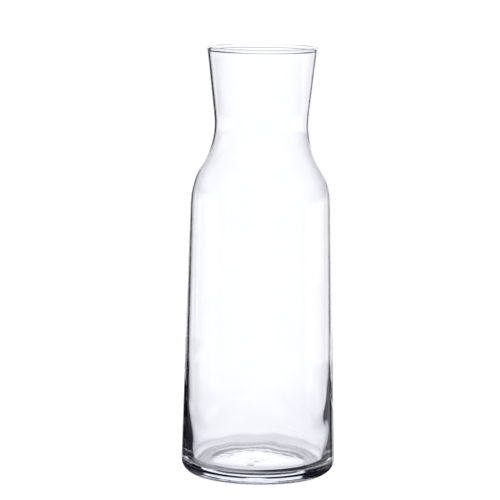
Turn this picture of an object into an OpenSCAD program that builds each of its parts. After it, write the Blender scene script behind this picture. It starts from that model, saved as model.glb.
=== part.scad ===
// Wine carafe blown as one piece of clear glass: a body that widens slightly towards a heavy foot,
// a soft shoulder, a waisted neck and a flared mouth with a fire-polished bead.
// Millimetres. The origin is the centre of the foot on the table, and +Z points out of the mouth.

/* [Outer shape] */
// Height from the table to the top of the rim
height = 260; // [245:1:300]
// Diameter of the body at the table, measured before the heel is rounded
foot_d = 94.6; // [88:0.1:104]
// Radius of the heel between the side and the bearing ring
heel_round = 8; // [3:0.5:9]
// Diameter where the line of the side meets the line of the shoulder
shoulder_d = 85.4; // [80:0.1:90]
// Height of that meeting above the table
shoulder_z = 178; // [165:0.5:185]
// Radius that rounds the shoulder
shoulder_round = 50; // [20:1:60]
// Diameter where the line of the shoulder meets the line of the neck
neck_d = 55.2; // [46:0.1:60]
// Height of that meeting above the table
neck_z = 204.5; // [200:0.5:215]
// Radius that rounds the waist of the neck
neck_round = 42; // [20:1:50]
// Outer diameter of the mouth, without the bead
mouth_d = 67.2; // [62:0.1:80]

/* [Wall] */
// Thickness of the side at the foot, measured level
wall_foot = 7.1; // [4:0.1:8.5]
// Thickness of the side where the heavy lower wall ends, measured level
wall_middle = 2.45; // [1.8:0.05:3]
// Thickness at the shoulder, measured level
wall_shoulder = 1.25; // [1:0.05:2.5]
// Thickness at the waist of the neck, measured level
wall_neck = 1.6; // [1:0.05:2.5]
// Thickness of the neck below the bead, measured level
wall_mouth = 1.6; // [1:0.05:2.2]
// Height above the table where the heavy lower wall ends
middle_z = 56; // [45:1:70]

/* [Rim] */
// Diameter of the fire-polished bead round the mouth
bead_d = 2.6; // [2.3:0.1:4]

/* [Base] */
// Height of the inside floor above the table, near the side
floor_z = 6.65; // [5.5:0.05:12]
// Rise of the inside floor at its centre
floor_rise = 1; // [0:0.1:3]
// Radius between the inside floor and the side
floor_round = 6; // [3:0.5:12]
// Width of the flat ring that the carafe stands on
ring_w = 5; // [3:0.5:9]
// Depth of the domed hollow under the base
hollow_depth = 3; // [0.8:0.1:3.5]

/* [Mould dots] */
// Diameter of one small round dot raised in the hollow
dot_d = 5; // [3:0.5:8]
// Height of one dot
dot_h = 0.5; // [0.2:0.1:0.7]
// Radius of the circle that the dots lie on
dot_ring_r = 17; // [10:0.5:20]

/* [Hidden] */

// Turn of one chord of an arc, in degrees
arc_step = 3;
// Number of chords along the rise of the floor and along the hollow
rise_steps = 16;
hollow_steps = 30;
$fn = 96;

foot_r = foot_d / 2;
shoulder_r = shoulder_d / 2;
neck_r = neck_d / 2;
mouth_r = mouth_d / 2;
bead_r = bead_d / 2;
bead_z = height - bead_r;

// Outer radius of the side at the height where the heavy lower wall ends
middle_r = foot_r + (shoulder_r - foot_r) * middle_z / shoulder_z;

// The bearing ring runs between these radii, and the hollow domes up inside it
ring_outer_r = foot_r - heel_round;
ring_inner_r = ring_outer_r - ring_w;
// Power of the dome's curve: a higher one is flatter in the middle
hollow_power = 3;

// Radius of the inside at the floor, and the radius where the rise of the floor starts
cavity_r = foot_r - wall_foot;
floor_flat = 1;
rise_r = cavity_r - floor_round - floor_flat;

// Directions of the dots about the axis, in degrees from +X
dot_angles = [71, 101, 255];

function unit(v) = v / norm(v);
function reversed(list) = [for (i = [len(list) - 1:-1:0]) list[i]];

// Points along an arc about a centre, from one angle through a turn
function arc(centre, radius, from, turn) =
    let (n = max(2, ceil(abs(turn) / arc_step)))
    [for (i = [0:n]) let (a = from + turn * i / n) centre + radius * [cos(a), sin(a)]];

// The corner b of the line a, b, c, replaced by an arc that touches both its sides
function rounded_corner(a, b, c, radius) =
    let (
        u = unit(a - b),
        v = unit(c - b),
        half = acos(u * v) / 2,
        centre = b + unit(u + v) * radius / sin(half),
        start = b + u * radius / tan(half) - centre,
        side = u[0] * v[1] - u[1] * v[0] > 0 ? -1 : 1
    )
    arc(centre, radius, atan2(start[1], start[0]), side * (180 - 2 * half));

function point(corner) = [corner[0], corner[1]];

// Height of the hollow's ceiling at a radius
function hollow_z(r) = hollow_depth * (1 - pow(r / ring_inner_r, hollow_power));

// A line through corners of [radius from the axis, height, rounding], with a rounding of 0 left sharp
function rounded_line(corners) = [
    for (i = [0:len(corners) - 1])
        each (corners[i][2] == 0
            ? [point(corners[i])]
            : rounded_corner(point(corners[i - 1]), point(corners[i]), point(corners[i + 1]), corners[i][2]))
];

// Ceiling of the hollow, from the axis to the bearing ring
hollow_line = [
    for (i = [0:hollow_steps - 1]) let (r = ring_inner_r * i / hollow_steps) [r, hollow_z(r)]
];

// Bearing ring and outside, from the hollow to the rim
outside = rounded_line([
    [ring_inner_r, 0, 0],
    [foot_r, 0, heel_round],
    [shoulder_r, shoulder_z, shoulder_round],
    [neck_r, neck_z, neck_round],
    [mouth_r, bead_z, 0]
]);

// Rise of the floor from the flat beside the wall to the axis
floor_line = [
    for (i = [0:rise_steps - 1])
        [rise_r * i / rise_steps, floor_z + floor_rise * (1 + cos(180 * i / rise_steps)) / 2]
];

// The two straight stretches of the inside meet at the second of these points
inside_low = [cavity_r, floor_z];
inside_middle = [middle_r - wall_middle, middle_z];
inside_high = [shoulder_r - wall_shoulder, shoulder_z];
// Radius that blends them along most of the lower one
middle_turn = acos(unit(inside_middle - inside_low) * unit(inside_high - inside_middle));
blend_length = 0.65 * (middle_z - floor_z - floor_round);
middle_round = blend_length / tan(middle_turn / 2);

// Inside of the wall, from the flat of the floor to the rim
inside_wall = rounded_line([
    [rise_r, floor_z, 0],
    [inside_low[0], inside_low[1], floor_round],
    [inside_middle[0], inside_middle[1], middle_round],
    [inside_high[0], inside_high[1], shoulder_round - wall_shoulder],
    [neck_r - wall_neck, neck_z, neck_round + wall_neck],
    [mouth_r - wall_mouth, bead_z, 0]
]);

// Half section of the glass, with the bead centred on the wall at the mouth
module section() {
    polygon(concat(hollow_line, outside, reversed(concat(floor_line, inside_wall))));
    translate([mouth_r - wall_mouth / 2, bead_z])
        circle(r = bead_r);
}

// One shallow round dot that stands down out of the hollow's ceiling
module mould_dot() {
    ball_r = (dot_d * dot_d / 4 + dot_h * dot_h) / (2 * dot_h);
    root = max(dot_h, 0.4);
    intersection() {
        translate([0, 0, ball_r - dot_h])
            sphere(r = ball_r);
        translate([0, 0, -dot_h])
            cylinder(d = dot_d + 2, h = dot_h + root);
    }
}

module glass_body() {
    color("aliceblue", 0.35) {
        rotate_extrude()
            section();
        for (angle = dot_angles)
            rotate(angle)
                translate([dot_ring_r, 0, hollow_z(dot_ring_r)])
                    mould_dot();
    }
}

glass_body();
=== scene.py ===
import math
from collections import namedtuple

import bpy
from mathutils import Matrix, Vector


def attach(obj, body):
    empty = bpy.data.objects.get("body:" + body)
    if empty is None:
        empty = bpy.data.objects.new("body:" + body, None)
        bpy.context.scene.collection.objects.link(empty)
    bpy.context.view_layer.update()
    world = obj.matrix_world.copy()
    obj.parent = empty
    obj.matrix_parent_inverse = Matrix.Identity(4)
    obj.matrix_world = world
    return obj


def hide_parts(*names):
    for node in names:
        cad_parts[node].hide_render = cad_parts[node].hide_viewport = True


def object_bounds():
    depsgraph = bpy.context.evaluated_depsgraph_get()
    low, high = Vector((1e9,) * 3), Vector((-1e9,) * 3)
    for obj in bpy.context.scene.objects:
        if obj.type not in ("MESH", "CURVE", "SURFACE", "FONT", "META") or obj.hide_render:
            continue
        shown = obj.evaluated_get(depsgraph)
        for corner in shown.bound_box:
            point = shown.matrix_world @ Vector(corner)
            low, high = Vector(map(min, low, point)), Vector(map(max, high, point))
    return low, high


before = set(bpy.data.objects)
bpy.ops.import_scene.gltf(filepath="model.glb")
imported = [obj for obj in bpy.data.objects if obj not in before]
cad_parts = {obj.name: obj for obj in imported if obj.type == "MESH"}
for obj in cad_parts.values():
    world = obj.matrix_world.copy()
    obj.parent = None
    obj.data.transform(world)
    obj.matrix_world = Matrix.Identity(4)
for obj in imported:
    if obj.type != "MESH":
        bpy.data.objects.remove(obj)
cad_low, cad_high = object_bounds()

# Driving sizes of the glass, in metres
HEIGHT = cad_high.z
FOOT_R = 0.0473
HEEL_ROUND = 0.008
SHOULDER_R = 0.0427
SHOULDER_Z = 0.178
SHOULDER_ROUND = 0.050
NECK_R = 0.0276
NECK_Z = 0.2045
NECK_ROUND = 0.042
MOUTH_R = 0.0336
WALL_FOOT = 0.0071
WALL_MIDDLE = 0.00245
WALL_SHOULDER = 0.00125
WALL_NECK = 0.0016
WALL_MOUTH = 0.0016
MIDDLE_Z = 0.056
MIDDLE_ROUND = 0.700
BEAD_R = 0.0013
BEAD_START = math.radians(-52)
BEAD_TURN = math.radians(284)
FLOOR_Z = 0.00665
FLOOR_RISE = 0.0010
FLOOR_ROUND = 0.0060
FLOOR_FLAT = 0.001
RING_W = 0.005
HOLLOW_DEPTH = 0.003
HOLLOW_POWER = 3
DOT_R = 0.0025
DOT_H = 0.0005
DOT_RING_R = 0.017
DOT_ANGLES = (71, 101, 255)

# Sizes that follow from them
BEAD_Z = HEIGHT - BEAD_R
BEAD_MIDDLE_R = MOUTH_R - WALL_MOUTH / 2
MIDDLE_R = FOOT_R + (SHOULDER_R - FOOT_R) * MIDDLE_Z / SHOULDER_Z
RING_INNER_R = FOOT_R - HEEL_ROUND - RING_W
CAVITY_R = FOOT_R - WALL_FOOT
RISE_R = CAVITY_R - FLOOR_ROUND - FLOOR_FLAT

# Fineness of the lathe
LATHE_STEPS = 200
ARC_STEP = math.radians(5)
LEAST_ARC_STEPS = 4
STRAIGHT_STEP = 0.003
BASE_STEPS = 36
BEAD_STEPS = 28
MERGE_DISTANCE = 0.000004

# How far round a dot the glass is drawn along with it, as a share of the dot's radius
DOT_REACH = 1.3

# Waviness of the hand-worked inside: size and height of the waves, and where they fade in and out
FLOOR_WAVES = (0.005, 0.00015)
FLOOR_WAVES_EDGE = 0.004
FLOOR_WAVES_SLACK = 0.0005
WALL_WAVES = (0.020, 0.0006)
WALL_WAVES_DEPTH = 0.0012
WALL_WAVES_FULL = (0.024, 0.040)
WALL_WAVES_END = 0.075

# Finish of the glass: fine cords in it, its polish, and its tint over a long way
GLASS_IOR = 1.52
CORD_SCALE = 40
CORD_DETAIL = 2
CORD_TINTS = [(0.3, (0.985, 0.988, 1.0)), (0.7, (1, 1, 1))]
CORD_ROUGHNESS = 0.012
CORD_BUMP = 0.3
CORD_BUMP_HEIGHT = 0.00004
DEPTH_TINT = (0.20, 0.28, 1.0, 1)
DEPTH_DENSITY = 1.4

# Roughness of the stippled ring that the carafe stands on, and the heights where it fades out
STIPPLE = 0.5
STIPPLE_TOP = 0.0016
STIPPLE_FULL = STIPPLE_TOP / 3

# Pale floor of the scene, which glows a little to come out white
GROUND_SIZE = 8
GROUND_TINT = (0.9, 0.9, 0.9, 1)
GROUND_ROUGHNESS = 0.9
GROUND_GLOW = 0.8

# The photograph's viewpoint, as fitted to the outline of the carafe, in metres and degrees
CAMERA_DISTANCE = 1.59909
CAMERA_HEIGHT = 0.35159
CAMERA_PITCH, CAMERA_PAN, CAMERA_ROLL = 7.6606, -0.222, 0.658
CAMERA_NEAR = 0.05
PHOTO_PIXELS = 500
FOCAL_PIXELS = 2654.95
SENSOR_WIDTH = 36

# Counts of glass surfaces crossed and of mirrorings that set rays apart; one wall has two surfaces
ONE_WALL = 1.5
MORE_WALLS = 2.5
MIRRORED = 0.5

# The studio is given in degrees: azimuth from straight behind the carafe, positive to the right,
# and elevation above level, which runs from straight down to straight up
ELEVATION_SPAN = 180

# White sheet behind the carafe: its edges, how they lean with elevation, and its narrower low part
SHEET_LEFT, SHEET_RIGHT = -22.5, 31
SHEET_LEFT_LEAN, SHEET_RIGHT_LEAN = -0.25, 0.18
SHEET_SOFT = 3
SHEET_LOW_FROM, SHEET_LOW_TO = -13, -22
SHEET_LOW_LEFT, SHEET_LOW_RIGHT = 8, 18
SHEET_HEIGHTS = [(-50, 0.45), (-36, 1.0), (26, 1.0), (34, 0.05), (90, 0.05)]
SHEET_LEVEL = 1.15

# Pale table in front of the sheet, which goes all round when looked at steeply
TABLE_LEFT, TABLE_RIGHT, TABLE_SOFT = -60, 65, 30
TABLE_ROUND_FROM, TABLE_ROUND_TO = -50, -65
TABLE_HEIGHTS = [(-75, 0.20), (-62, 0.42), (-42, 0.42), (-30, 0.0)]

# Soft panels beside the sheet, and one dim glow all round
Panel = namedtuple("Panel", "left right soft bottom top top_soft level")
PANEL_BOTTOM_SOFT = 1
SIDE_PANELS = [
    Panel(left=41, right=100, soft=4, bottom=-11.8, top=-2, top_soft=4, level=0.75),
    Panel(left=-64, right=-43, soft=6, bottom=-9.5, top=-2, top_soft=4, level=0.5),
    Panel(left=38, right=75, soft=6, bottom=-33, top=-18, top_soft=4, level=0.6),
    Panel(left=-180, right=180, soft=1, bottom=-32, top=10, top_soft=8, level=0.016),
    Panel(left=-70, right=-30, soft=6, bottom=-48, top=-38, top_soft=14, level=0.42),
]

# White seen straight through the glass, by elevation
THROUGH_HEIGHTS = [
    (-70, 0.9), (-52, 0.9), (-43, 0.84), (-37, 0.64), (-32, 0.66), (-22, 0.84), (-17, 0.93),
    (-13.5, 1.0), (12, 1.0), (30, 0.6), (45, 0.4),
]
THROUGH_LEVEL = 1.235

# Elevations at which the far wall of the mouth alone also shows white: near level, steeply down,
# and less steeply down to the sides
MOUTH_FROM, MOUTH_FULL_FROM, MOUTH_FULL_TO, MOUTH_TO = -13, -11.5, 0, 2
STEEP_FROM, STEEP_FULL = -37, -41
ASIDE_FROM, ASIDE_FULL = -21, -24
ASIDE_ANGLE, ASIDE_SOFT = 30, 6

# Least brightness of light that was mirrored inside the far wall, within these edges
INSIDE_LEFT, INSIDE_RIGHT, INSIDE_SOFT = -22, 30, 6
INSIDE_LEVEL = 0.75

# Dark cards: beside the sheet, low on the right, and above the sheet on both sides of the middle
CARD_SHADE = 0.95
CARD_SOFT = 3
LEFT_CARD = (-42, -22)
RIGHT_CARD = (28.5, 38)
CARD_FROM, CARD_FULL_FROM, CARD_FULL_TO, CARD_TO = -11, -9.5, 2, 6
LOW_CARD_FROM, LOW_CARD_FULL = 2, 8
LOW_CARD_TOP, LOW_CARD_FULL_TOP = -20, -26
UPPER_CARD_FROM, UPPER_CARD_FULL = 8, 14
UPPER_GAP_LEFT, UPPER_GAP_RIGHT, UPPER_GAP_SOFT = -1, 3, 6

# Colour of the studio from its dark corners to the white sheet
STUDIO_TINTS = [
    (0.0, (0.006, 0.006, 0.012)),
    (0.1, (0.082, 0.085, 0.112)),
    (0.4, (0.365, 0.37, 0.415)),
    (1.0, (0.97, 0.975, 1.0)),
]


def deselect_all():
    for obj in bpy.context.selected_objects:
        obj.select_set(False)


def rounded_line(corners):
    """Points along corners of (radius, height, rounding), with an arc for each rounding."""
    points = []
    for i, (r, z, rounding) in enumerate(corners):
        here = Vector((r, z))
        if rounding == 0:
            points.append(here)
            continue
        u = (Vector(corners[i - 1][:2]) - here).normalized()
        v = (Vector(corners[i + 1][:2]) - here).normalized()
        half = math.acos(u.dot(v)) / 2
        centre = here + (u + v).normalized() * rounding / math.sin(half)
        start = here + u * rounding / math.tan(half) - centre
        turn = math.pi - 2 * half
        if u.x * v.y - u.y * v.x > 0:
            turn = -turn
        steps = max(LEAST_ARC_STEPS, math.ceil(abs(turn) / ARC_STEP))
        for k in range(steps + 1):
            points.append(centre + Matrix.Rotation(turn * k / steps, 2) @ start)
    return points


def even_points(points):
    """The same line with long straight stretches cut into short ones."""
    line = [points[0]]
    for a, b in zip(points, points[1:]):
        parts = max(1, math.ceil((b - a).length / STRAIGHT_STEP))
        line.extend(a.lerp(b, (k + 1) / parts) for k in range(parts))
    return line


def hollow_z(r):
    """Height of the domed hollow under the base at a radius."""
    return HOLLOW_DEPTH * (1 - (r / RING_INNER_R) ** HOLLOW_POWER)


def floor_z(r):
    """Height of the crowned inside floor at a radius."""
    return FLOOR_Z + FLOOR_RISE * (1 + math.cos(math.pi * r / RISE_R)) / 2


def glass_profile():
    """Half section: under the base, up the outside, over the bead and down inside to the floor."""
    hollow_rs = [RING_INNER_R * k / BASE_STEPS for k in range(BASE_STEPS)]
    floor_rs = [RISE_R * k / BASE_STEPS for k in range(BASE_STEPS)]
    bead_angles = [BEAD_START + BEAD_TURN * k / BEAD_STEPS for k in range(BEAD_STEPS + 1)]
    hollow = [Vector((r, hollow_z(r))) for r in hollow_rs]
    outside = rounded_line([
        (RING_INNER_R, 0, 0),
        (FOOT_R, 0, HEEL_ROUND),
        (SHOULDER_R, SHOULDER_Z, SHOULDER_ROUND),
        (NECK_R, NECK_Z, NECK_ROUND),
        (MOUTH_R, BEAD_Z - BEAD_R, 0),
    ])
    bead = [
        Vector((BEAD_MIDDLE_R + BEAD_R * math.cos(a), BEAD_Z + BEAD_R * math.sin(a)))
        for a in bead_angles
    ]
    inside = rounded_line([
        (RISE_R, FLOOR_Z, 0),
        (CAVITY_R, FLOOR_Z, FLOOR_ROUND),
        (MIDDLE_R - WALL_MIDDLE, MIDDLE_Z, MIDDLE_ROUND),
        (SHOULDER_R - WALL_SHOULDER, SHOULDER_Z, SHOULDER_ROUND - WALL_SHOULDER),
        (NECK_R - WALL_NECK, NECK_Z, NECK_ROUND + WALL_NECK),
        (MOUTH_R - WALL_MOUTH, BEAD_Z - BEAD_R, 0),
    ])
    floor = [Vector((r, floor_z(r))) for r in floor_rs]
    return even_points(hollow + outside + bead + inside[::-1] + floor[::-1])


def blow_glass():
    """Draws the half section by extruding one vertex along it, then spins it about the axis."""
    points = glass_profile()
    deselect_all()
    bpy.ops.mesh.primitive_plane_add(size=0.001, location=(0, 0, 0))
    glass = bpy.context.object
    glass.name = "carafe_glass"
    bpy.ops.object.mode_set(mode="EDIT")
    bpy.ops.mesh.select_all(action="SELECT")
    bpy.ops.mesh.merge(type="CENTER")
    bpy.ops.transform.translate(value=(points[0].x, 0, points[0].y))
    for a, b in zip(points, points[1:]):
        bpy.ops.mesh.extrude_vertices_move(
            TRANSFORM_OT_translate={"value": (b.x - a.x, 0, b.y - a.y)}
        )
    bpy.ops.mesh.select_all(action="SELECT")
    bpy.ops.mesh.spin(steps=LATHE_STEPS, angle=math.tau, center=(0, 0, 0), axis=(0, 0, 1))
    bpy.ops.mesh.select_all(action="SELECT")
    bpy.ops.mesh.remove_doubles(threshold=MERGE_DISTANCE)
    bpy.ops.mesh.normals_make_consistent(inside=False)
    bpy.ops.object.mode_set(mode="OBJECT")
    bpy.ops.object.shade_smooth()
    return glass


def fade(value, start, end):
    """0 before start, 1 after end and smooth between; start may be the larger one."""
    t = min(max((value - start) / (end - start), 0), 1)
    return t * t * (3 - 2 * t)


def floor_weight(r, z):
    """Full on the inside floor, none on its fillet or under the base."""
    if not FLOOR_Z - FLOOR_WAVES_SLACK < z < FLOOR_Z + FLOOR_RISE + FLOOR_WAVES_SLACK:
        return 0
    return fade(r, RISE_R + FLOOR_FLAT, RISE_R - FLOOR_WAVES_EDGE)


def low_wall_weight(r, z):
    """Full on the inside of the heavy lower wall, none on the outside or higher up."""
    outer_r = FOOT_R + (SHOULDER_R - FOOT_R) * z / SHOULDER_Z
    if r > outer_r - WALL_WAVES_DEPTH:
        return 0
    full_from, full_to = WALL_WAVES_FULL
    return fade(z, FLOOR_Z + FLOOR_ROUND, full_from) * fade(z, WALL_WAVES_END, full_to)


def ripple(glass, name, waves, weight):
    """Displaces the glass along its normals by soft noise, by each vertex's weight."""
    size, height = waves
    group = glass.vertex_groups.new(name=name)
    for vertex in glass.data.vertices:
        share = weight(vertex.co.xy.length, vertex.co.z)
        if share > 0:
            group.add([vertex.index], share, "REPLACE")
    texture = bpy.data.textures.new(name, "CLOUDS")
    texture.noise_scale = size
    texture.noise_depth = 1
    deselect_all()
    glass.select_set(True)
    bpy.context.view_layer.objects.active = glass
    bpy.ops.object.modifier_add(type="DISPLACE")
    modifier = glass.modifiers[-1]
    modifier.texture = texture
    modifier.texture_coords = "LOCAL"
    modifier.strength = height
    modifier.vertex_group = name
    bpy.ops.object.modifier_apply(modifier=modifier.name)


def raise_dots(glass):
    """Presses the mould dots out of the hollow, each by drawing one vertex with its neighbours."""
    for angle in (math.radians(a) for a in DOT_ANGLES):
        target = Vector((
            DOT_RING_R * math.cos(angle), DOT_RING_R * math.sin(angle), hollow_z(DOT_RING_R)
        ))
        nearest = min(glass.data.vertices, key=lambda vertex: (vertex.co - target).length).index
        bpy.ops.object.mode_set(mode="EDIT")
        bpy.ops.mesh.select_mode(type="VERT")
        bpy.ops.mesh.select_all(action="DESELECT")
        bpy.ops.object.mode_set(mode="OBJECT")
        glass.data.vertices[nearest].select = True
        bpy.ops.object.mode_set(mode="EDIT")
        bpy.ops.transform.translate(
            value=(0, 0, -DOT_H),
            use_proportional_edit=True,
            proportional_edit_falloff="SMOOTH",
            proportional_size=DOT_R * DOT_REACH,
        )
        bpy.ops.object.mode_set(mode="OBJECT")


def add_node(tree, kind, **settings):
    node = tree.nodes.new(kind)
    for name, value in settings.items():
        setattr(node, name, value)
    return node


def math_node(tree, operation, *values):
    """A Math node whose inputs are numbers or other nodes' outputs; returns its output."""
    node = add_node(tree, "ShaderNodeMath", operation=operation)
    for socket, value in zip(node.inputs, values):
        if isinstance(value, bpy.types.NodeSocket):
            tree.links.new(value, socket)
        else:
            socket.default_value = value
    return node.outputs[0]


def product(tree, first, *others):
    for other in others:
        first = math_node(tree, "MULTIPLY", first, other)
    return first


def larger(tree, one, other):
    return math_node(tree, "MAXIMUM", one, other)


def opposite(tree, mask):
    return math_node(tree, "SUBTRACT", 1, mask)


def chosen(tree, mask, plain, masked):
    """One value where the mask is 0 and the other where it is 1."""
    node = add_node(tree, "ShaderNodeMix", data_type="FLOAT", clamp_factor=True)
    tree.links.new(mask, node.inputs[0])
    tree.links.new(plain, node.inputs[2])
    tree.links.new(masked, node.inputs[3])
    return node.outputs[0]


def soft_step(tree, value, start, end):
    """0 before start, 1 after end and smooth between; start may be the larger one."""
    node = add_node(tree, "ShaderNodeMapRange", interpolation_type="SMOOTHSTEP")
    tree.links.new(value, node.inputs["Value"])
    node.inputs["From Min"].default_value = min(start, end)
    node.inputs["From Max"].default_value = max(start, end)
    node.inputs["To Min"].default_value = 0 if start < end else 1
    node.inputs["To Max"].default_value = 1 if start < end else 0
    return node.outputs["Result"]


def between(tree, value, start, end, soft):
    """1 between two edges and 0 outside them, with soft borders that lie outside."""
    past_start = math_node(tree, "SUBTRACT", value, start)
    before_end = math_node(tree, "SUBTRACT", end, value)
    return product(
        tree, soft_step(tree, past_start, -soft, 0), soft_step(tree, before_end, -soft, 0)
    )


def color_ramp(tree, place, stops):
    """A ramp through stops of (place, colour); returns its colour output."""
    ramp = add_node(tree, "ShaderNodeValToRGB")
    tree.links.new(place, ramp.inputs[0])
    points = ramp.color_ramp.elements
    while len(points) < len(stops):
        points.new(1.0)
    for point, (position, color) in zip(points, stops):
        point.position = position
        point.color = (*color, 1)
    return ramp.outputs["Color"]


def clear_glass_material():
    """Clear soda glass, slightly wavy, with a cool tint where light runs far through it."""
    material = bpy.data.materials.new("clear_glass")
    material.use_nodes = True
    tree = material.node_tree
    surface = tree.nodes["Principled BSDF"]
    surface.inputs["IOR"].default_value = GLASS_IOR
    surface.inputs["Transmission Weight"].default_value = 1.0
    place = add_node(tree, "ShaderNodeTexCoord").outputs["Object"]
    noise = add_node(tree, "ShaderNodeTexNoise")
    noise.inputs["Scale"].default_value = CORD_SCALE
    noise.inputs["Detail"].default_value = CORD_DETAIL
    tree.links.new(place, noise.inputs["Vector"])
    cords = noise.outputs["Fac"]
    tree.links.new(color_ramp(tree, cords, CORD_TINTS), surface.inputs["Base Color"])
    split = add_node(tree, "ShaderNodeSeparateXYZ")
    tree.links.new(place, split.inputs[0])
    ring = product(tree, soft_step(tree, split.outputs["Z"], STIPPLE_TOP, STIPPLE_FULL), STIPPLE)
    polish = product(tree, cords, CORD_ROUGHNESS)
    tree.links.new(math_node(tree, "ADD", polish, ring), surface.inputs["Roughness"])
    bump = add_node(tree, "ShaderNodeBump")
    bump.inputs["Strength"].default_value = CORD_BUMP
    bump.inputs["Distance"].default_value = CORD_BUMP_HEIGHT
    tree.links.new(cords, bump.inputs["Height"])
    tree.links.new(bump.outputs["Normal"], surface.inputs["Normal"])
    depth = add_node(tree, "ShaderNodeVolumeAbsorption")
    depth.inputs["Color"].default_value = DEPTH_TINT
    depth.inputs["Density"].default_value = DEPTH_DENSITY
    tree.links.new(depth.outputs["Volume"], tree.nodes["Material Output"].inputs["Volume"])
    return material


def pale_floor():
    """A plain pale floor under the glass; bent and mirrored rays see the studio instead."""
    deselect_all()
    bpy.ops.mesh.primitive_plane_add(size=GROUND_SIZE, location=(0, 0, 0))
    floor = bpy.context.object
    floor.name = "studio_floor"
    material = bpy.data.materials.new("pale_floor")
    material.use_nodes = True
    surface = material.node_tree.nodes["Principled BSDF"]
    surface.inputs["Base Color"].default_value = GROUND_TINT
    surface.inputs["Roughness"].default_value = GROUND_ROUGHNESS
    surface.inputs["Emission Color"].default_value = (1, 1, 1, 1)
    surface.inputs["Emission Strength"].default_value = GROUND_GLOW
    floor.data.materials.append(material)
    floor.visible_transmission = False
    floor.visible_glossy = False


def photo_camera():
    pitch, pan, roll = (math.radians(a) for a in (CAMERA_PITCH, CAMERA_PAN, CAMERA_ROLL))
    forward = Vector((
        math.sin(pan) * math.cos(pitch), math.cos(pan) * math.cos(pitch), -math.sin(pitch)
    ))
    level = forward.cross(Vector((0, 0, 1))).normalized()
    upright = level.cross(forward)
    right = level * math.cos(roll) + upright * math.sin(roll)
    up = upright * math.cos(roll) - level * math.sin(roll)
    camera_data = bpy.data.cameras.new("photo_camera")
    camera_data.sensor_width = SENSOR_WIDTH
    camera_data.lens = SENSOR_WIDTH * FOCAL_PIXELS / PHOTO_PIXELS
    camera_data.clip_start = CAMERA_NEAR
    camera = bpy.data.objects.new("photo_camera", camera_data)
    bpy.context.scene.collection.objects.link(camera)
    turn = Matrix((right, up, -forward)).transposed().to_4x4()
    camera.matrix_world = Matrix.Translation((0, -CAMERA_DISTANCE, CAMERA_HEIGHT)) @ turn
    bpy.context.scene.camera = camera


# Where a ray leaves to, and masks for how it met the glass on its way
Rays = namedtuple("Rays", "azimuth elevation backward unmirrored through_one through_two bare")


def studio_rays(tree):
    """Facts of each ray; unmirrored rays see the same studio before the carafe as behind it."""
    direction = add_node(tree, "ShaderNodeTexCoord").outputs["Generated"]
    split = add_node(tree, "ShaderNodeSeparateXYZ")
    tree.links.new(direction, split.inputs[0])
    x, y, z = split.outputs
    path = add_node(tree, "ShaderNodeLightPath").outputs
    crossed = path["Transmission Depth"]
    unmirrored = math_node(tree, "LESS_THAN", path["Glossy Depth"], MIRRORED)
    backward = math_node(tree, "LESS_THAN", y, 0)
    folded = product(tree, unmirrored, backward)
    folded_y = product(tree, y, math_node(tree, "MULTIPLY_ADD", folded, -2, 1))
    return Rays(
        azimuth=math_node(tree, "DEGREES", math_node(tree, "ARCTAN2", x, folded_y)),
        elevation=math_node(tree, "DEGREES", math_node(tree, "ARCSINE", z)),
        backward=backward,
        unmirrored=unmirrored,
        through_one=math_node(tree, "GREATER_THAN", crossed, ONE_WALL),
        through_two=math_node(tree, "GREATER_THAN", crossed, MORE_WALLS),
        bare=larger(tree, path["Is Camera Ray"], path["Is Diffuse Ray"]),
    )


def height_profile(tree, rays, stops):
    """Brightness by elevation, blended smoothly between the stops."""
    place = math_node(tree, "MULTIPLY_ADD", rays.elevation, 1 / ELEVATION_SPAN, 0.5)
    greys = [(angle / ELEVATION_SPAN + 0.5, (level,) * 3) for angle, level in stops]
    return color_ramp(tree, place, greys)


def table_light(tree, rays):
    in_front = between(tree, rays.azimuth, TABLE_LEFT, TABLE_RIGHT, TABLE_SOFT)
    all_round = soft_step(tree, rays.elevation, TABLE_ROUND_FROM, TABLE_ROUND_TO)
    width = larger(tree, in_front, all_round)
    return product(tree, height_profile(tree, rays, TABLE_HEIGHTS), width)


def sheet_light(tree, rays):
    low = soft_step(tree, rays.elevation, SHEET_LOW_FROM, SHEET_LOW_TO)
    left = math_node(tree, "MULTIPLY_ADD", low, SHEET_LOW_LEFT, SHEET_LEFT)
    right = math_node(tree, "MULTIPLY_ADD", low, -SHEET_LOW_RIGHT, SHEET_RIGHT)
    left = math_node(tree, "MULTIPLY_ADD", rays.elevation, SHEET_LEFT_LEAN, left)
    right = math_node(tree, "MULTIPLY_ADD", rays.elevation, SHEET_RIGHT_LEAN, right)
    width = between(tree, rays.azimuth, left, right, SHEET_SOFT)
    return product(tree, height_profile(tree, rays, SHEET_HEIGHTS), width)


def panel_light(tree, rays, panel):
    width = between(tree, rays.azimuth, panel.left, panel.right, panel.soft)
    below_top = soft_step(tree, rays.elevation, panel.top + panel.top_soft, panel.top)
    above_bottom = soft_step(tree, rays.elevation, panel.bottom - PANEL_BOTTOM_SOFT, panel.bottom)
    return product(tree, width, below_top, above_bottom, panel.level)


def studio_light(tree, rays):
    """What bent rays see: the sheet, the table and the side panels."""
    light = larger(tree, sheet_light(tree, rays), table_light(tree, rays))
    light = product(tree, light, SHEET_LEVEL)
    for panel in SIDE_PANELS:
        light = larger(tree, light, panel_light(tree, rays, panel))
    inside = between(tree, rays.azimuth, INSIDE_LEFT, INSIDE_RIGHT, INSIDE_SOFT)
    return larger(tree, light, product(tree, inside, INSIDE_LEVEL, rays.through_two))


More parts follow.
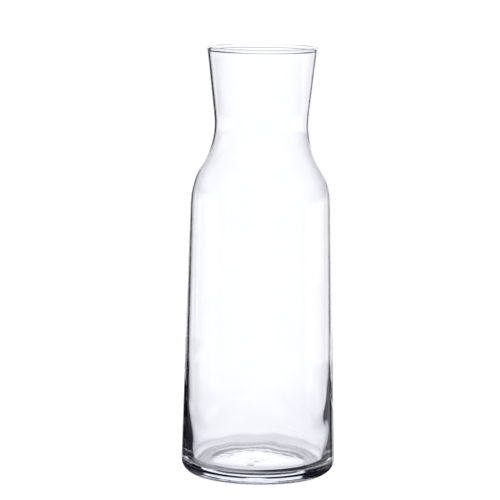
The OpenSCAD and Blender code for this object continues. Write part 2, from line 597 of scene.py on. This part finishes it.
def dark_cards(tree, rays):
    """How much the cards shade rays that passed one wall only: 0 for none, 1 for black."""
    low_right = product(
        tree, soft_step(tree, rays.azimuth, LOW_CARD_FROM, LOW_CARD_FULL),
        soft_step(tree, rays.elevation, LOW_CARD_TOP, LOW_CARD_FULL_TOP),
    )
    beside = product(
        tree, larger(
            tree, between(tree, rays.azimuth, *RIGHT_CARD, CARD_SOFT),
            between(tree, rays.azimuth, *LEFT_CARD, CARD_SOFT),
        ),
        soft_step(tree, rays.elevation, CARD_FROM, CARD_FULL_FROM),
        soft_step(tree, rays.elevation, CARD_TO, CARD_FULL_TO),
    )
    gap = between(tree, rays.azimuth, UPPER_GAP_LEFT, UPPER_GAP_RIGHT, UPPER_GAP_SOFT)
    upper = product(
        tree, soft_step(tree, rays.elevation, UPPER_CARD_FROM, UPPER_CARD_FULL),
        opposite(tree, gap),
    )
    shade = chosen(tree, rays.unmirrored, larger(tree, low_right, beside), upper)
    return product(tree, shade, CARD_SHADE, opposite(tree, rays.through_two))


def seen_through(tree, rays):
    """1 for rays straight through both walls, or through the far wall of the mouth alone."""
    level = product(
        tree, soft_step(tree, rays.elevation, MOUTH_FROM, MOUTH_FULL_FROM),
        soft_step(tree, rays.elevation, MOUTH_TO, MOUTH_FULL_TO),
    )
    aside = opposite(tree, between(tree, rays.azimuth, -ASIDE_ANGLE, ASIDE_ANGLE, ASIDE_SOFT))
    aside = product(
        tree, larger(tree, aside, rays.backward),
        soft_step(tree, rays.elevation, ASIDE_FROM, ASIDE_FULL),
    )
    steep = larger(tree, aside, soft_step(tree, rays.elevation, STEEP_FROM, STEEP_FULL))
    mouth = product(tree, rays.through_one, larger(tree, level, steep))
    return product(tree, larger(tree, rays.through_two, mouth), rays.unmirrored)


def studio():
    """A white sheet behind the carafe, dark cards beside it, and white seen through the glass."""
    world = bpy.data.worlds.new("studio")
    bpy.context.scene.world = world
    world.use_nodes = True
    tree = world.node_tree
    background = tree.nodes["Background"]
    rays = studio_rays(tree)
    through = seen_through(tree, rays)
    bent = product(tree, studio_light(tree, rays), opposite(tree, dark_cards(tree, rays)))
    straight = product(tree, height_profile(tree, rays, THROUGH_HEIGHTS), SHEET_LEVEL)
    light = math_node(tree, "DIVIDE", chosen(tree, through, bent, straight), SHEET_LEVEL)
    pick = add_node(tree, "ShaderNodeMix", data_type="RGBA")
    tree.links.new(rays.bare, pick.inputs[0])
    tree.links.new(color_ramp(tree, light, STUDIO_TINTS), pick.inputs[6])
    pick.inputs[7].default_value = (1, 1, 1, 1)
    tree.links.new(pick.outputs[2], background.inputs["Color"])
    strength = add_node(tree, "ShaderNodeMapRange")
    tree.links.new(through, strength.inputs["Value"])
    strength.inputs["To Min"].default_value = SHEET_LEVEL
    strength.inputs["To Max"].default_value = THROUGH_LEVEL
    tree.links.new(strength.outputs["Result"], background.inputs["Strength"])
    bpy.context.scene.view_settings.view_transform = "Standard"


carafe = blow_glass()
ripple(carafe, "floor_waves", FLOOR_WAVES, floor_weight)
ripple(carafe, "wall_waves", WALL_WAVES, low_wall_weight)
raise_dots(carafe)
carafe.data.materials.append(clear_glass_material())
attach(carafe, "root")
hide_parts("glass_body")

pale_floor()
photo_camera()
studio()
